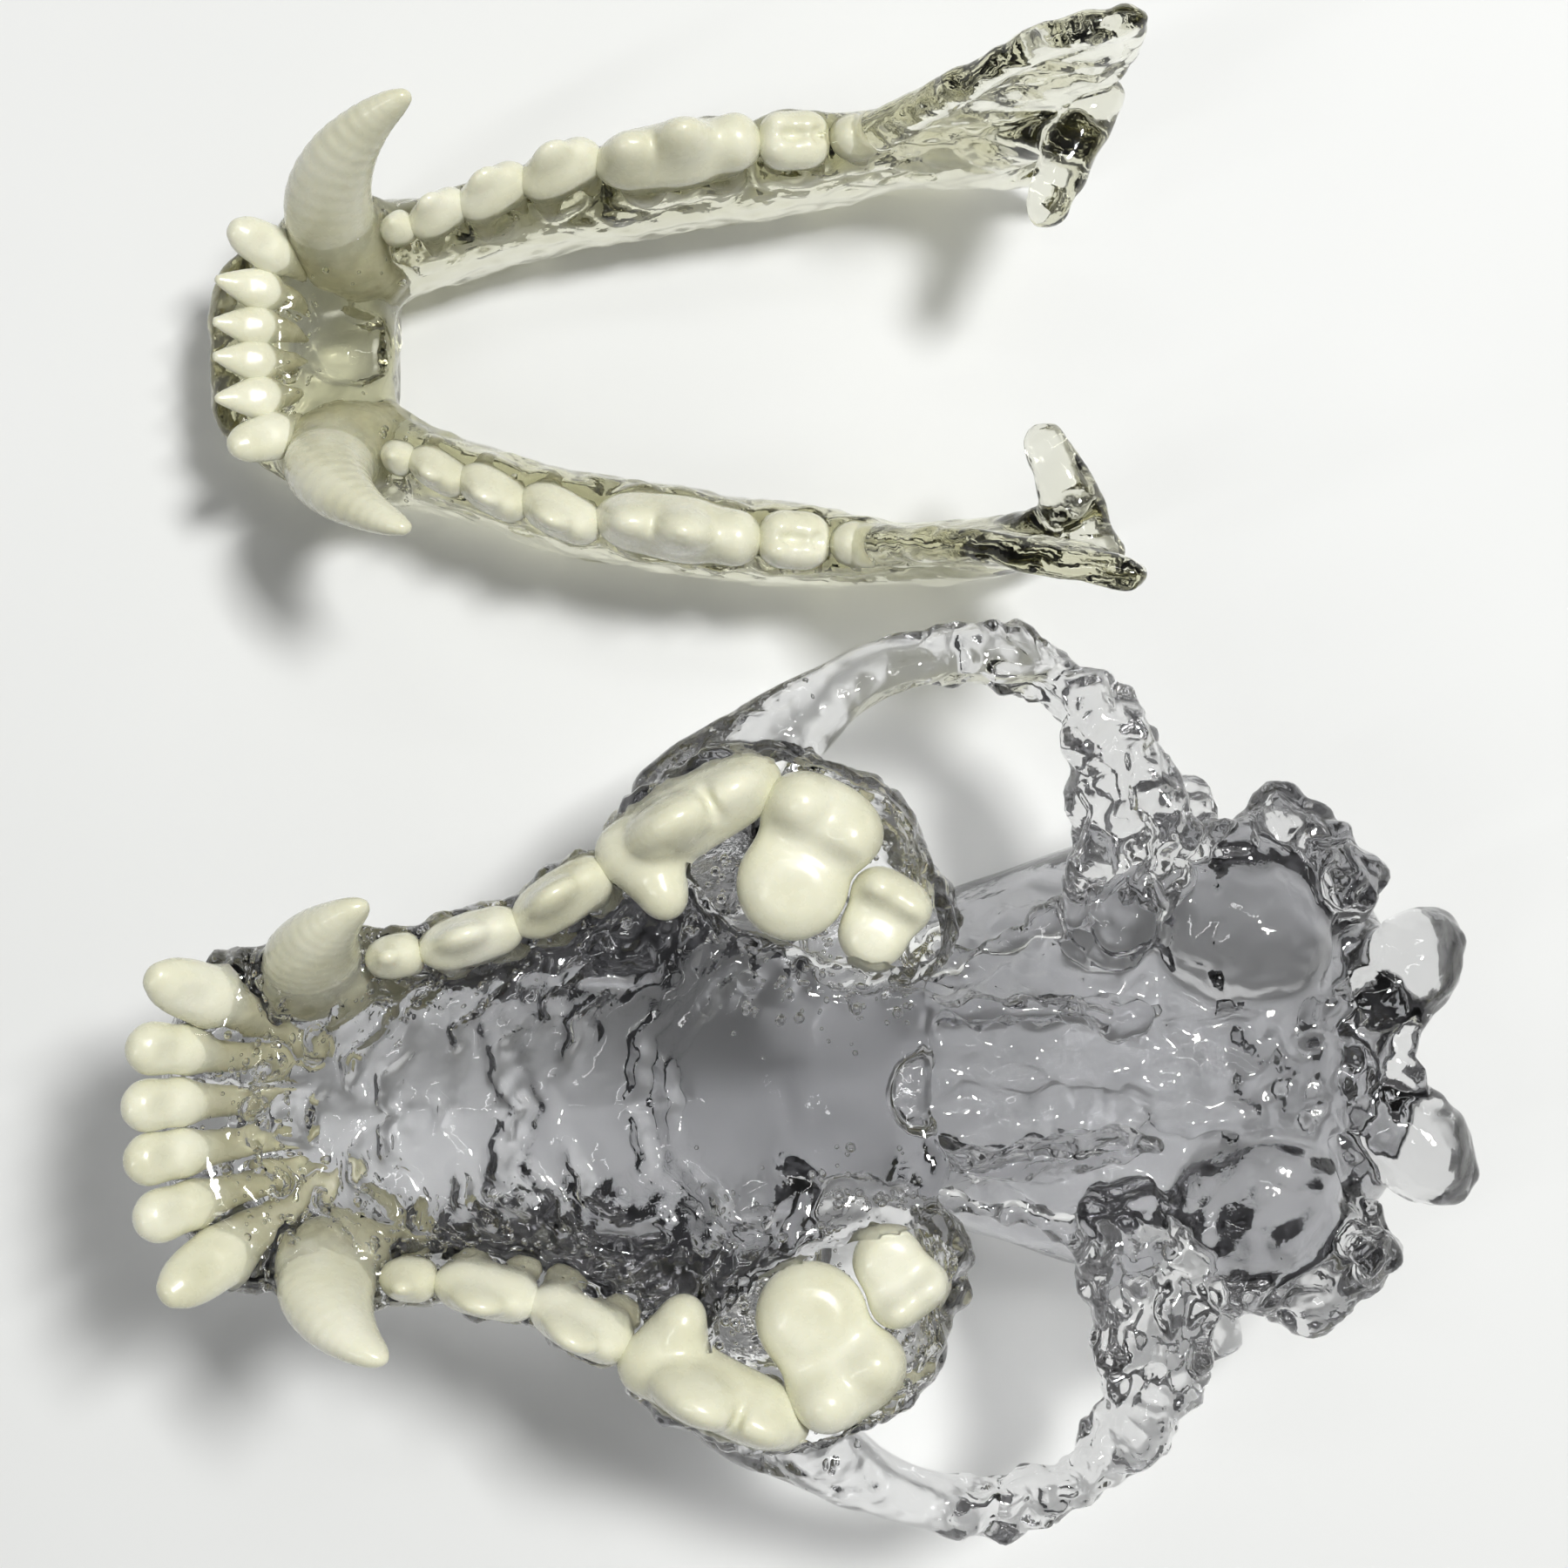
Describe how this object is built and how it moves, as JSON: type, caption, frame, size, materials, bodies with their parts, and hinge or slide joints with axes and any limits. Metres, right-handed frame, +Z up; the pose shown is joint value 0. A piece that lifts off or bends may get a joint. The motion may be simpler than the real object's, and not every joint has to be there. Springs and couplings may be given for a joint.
{
  "type": "typodont model",
  "caption": "Veterinary dental model: a clear cast dog skull lying palate up and its loose clear lower jaw beside it, teeth up, with ivory teeth and roots showing inside.",
  "frame": {"origin": "On the table, under the middle of the box round both pieces", "axes": "+X from the nose to the back of the head along the lower jaw, +Y across the jaws from the skull to the lower jaw, +Z up from the table; the skull is turned 2.5 degrees about +Z from the lower jaw"},
  "size_m": [0.136, 0.1536, 0.0606],
  "materials": {
    "clear_resin": "clear cast resin, glossy, a little smoky where it is thick",
    "tooth_resin": "ivory cast resin, smooth and glossy"
  },
  "bodies": {
    "skull": {"skull": "clear_resin", "upper_left_canine": "tooth_resin", "upper_left_incisor_1": "tooth_resin", "upper_left_incisor_2": "tooth_resin", "upper_left_incisor_3": "tooth_resin", "upper_left_molar_1": "tooth_resin", "upper_left_molar_2": "tooth_resin", "upper_left_premolar_1": "tooth_resin", "upper_left_premolar_2": "tooth_resin", "upper_left_premolar_3": "tooth_resin", "upper_left_premolar_4": "tooth_resin", "upper_right_canine": "tooth_resin", "upper_right_incisor_1": "tooth_resin", "upper_right_incisor_2": "tooth_resin", "upper_right_incisor_3": "tooth_resin", "upper_right_molar_1": "tooth_resin", "upper_right_molar_2": "tooth_resin", "upper_right_premolar_1": "tooth_resin", "upper_right_premolar_2": "tooth_resin", "upper_right_premolar_3": "tooth_resin", "upper_right_premolar_4": "tooth_resin"},
    "lower_jaw": {"lower_jaw": "clear_resin", "lower_left_canine": "tooth_resin", "lower_left_incisor_1": "tooth_resin", "lower_left_incisor_2": "tooth_resin", "lower_left_incisor_3": "tooth_resin", "lower_left_molar_1": "tooth_resin", "lower_left_molar_2": "tooth_resin", "lower_left_molar_3": "tooth_resin", "lower_left_premolar_1": "tooth_resin", "lower_left_premolar_2": "tooth_resin", "lower_left_premolar_3": "tooth_resin", "lower_left_premolar_4": "tooth_resin", "lower_right_canine": "tooth_resin", "lower_right_incisor_1": "tooth_resin", "lower_right_incisor_2": "tooth_resin", "lower_right_incisor_3": "tooth_resin", "lower_right_molar_1": "tooth_resin", "lower_right_molar_2": "tooth_resin", "lower_right_molar_3": "tooth_resin", "lower_right_premolar_1": "tooth_resin", "lower_right_premolar_2": "tooth_resin", "lower_right_premolar_3": "tooth_resin", "lower_right_premolar_4": "tooth_resin"}
  },
  "joints": [
    {"name": "lower_jaw_lift", "type": "slide", "parent": "skull", "child": "lower_jaw", "axis": [0, 0, 1], "range_m": [0, 0.12]}
  ]
}
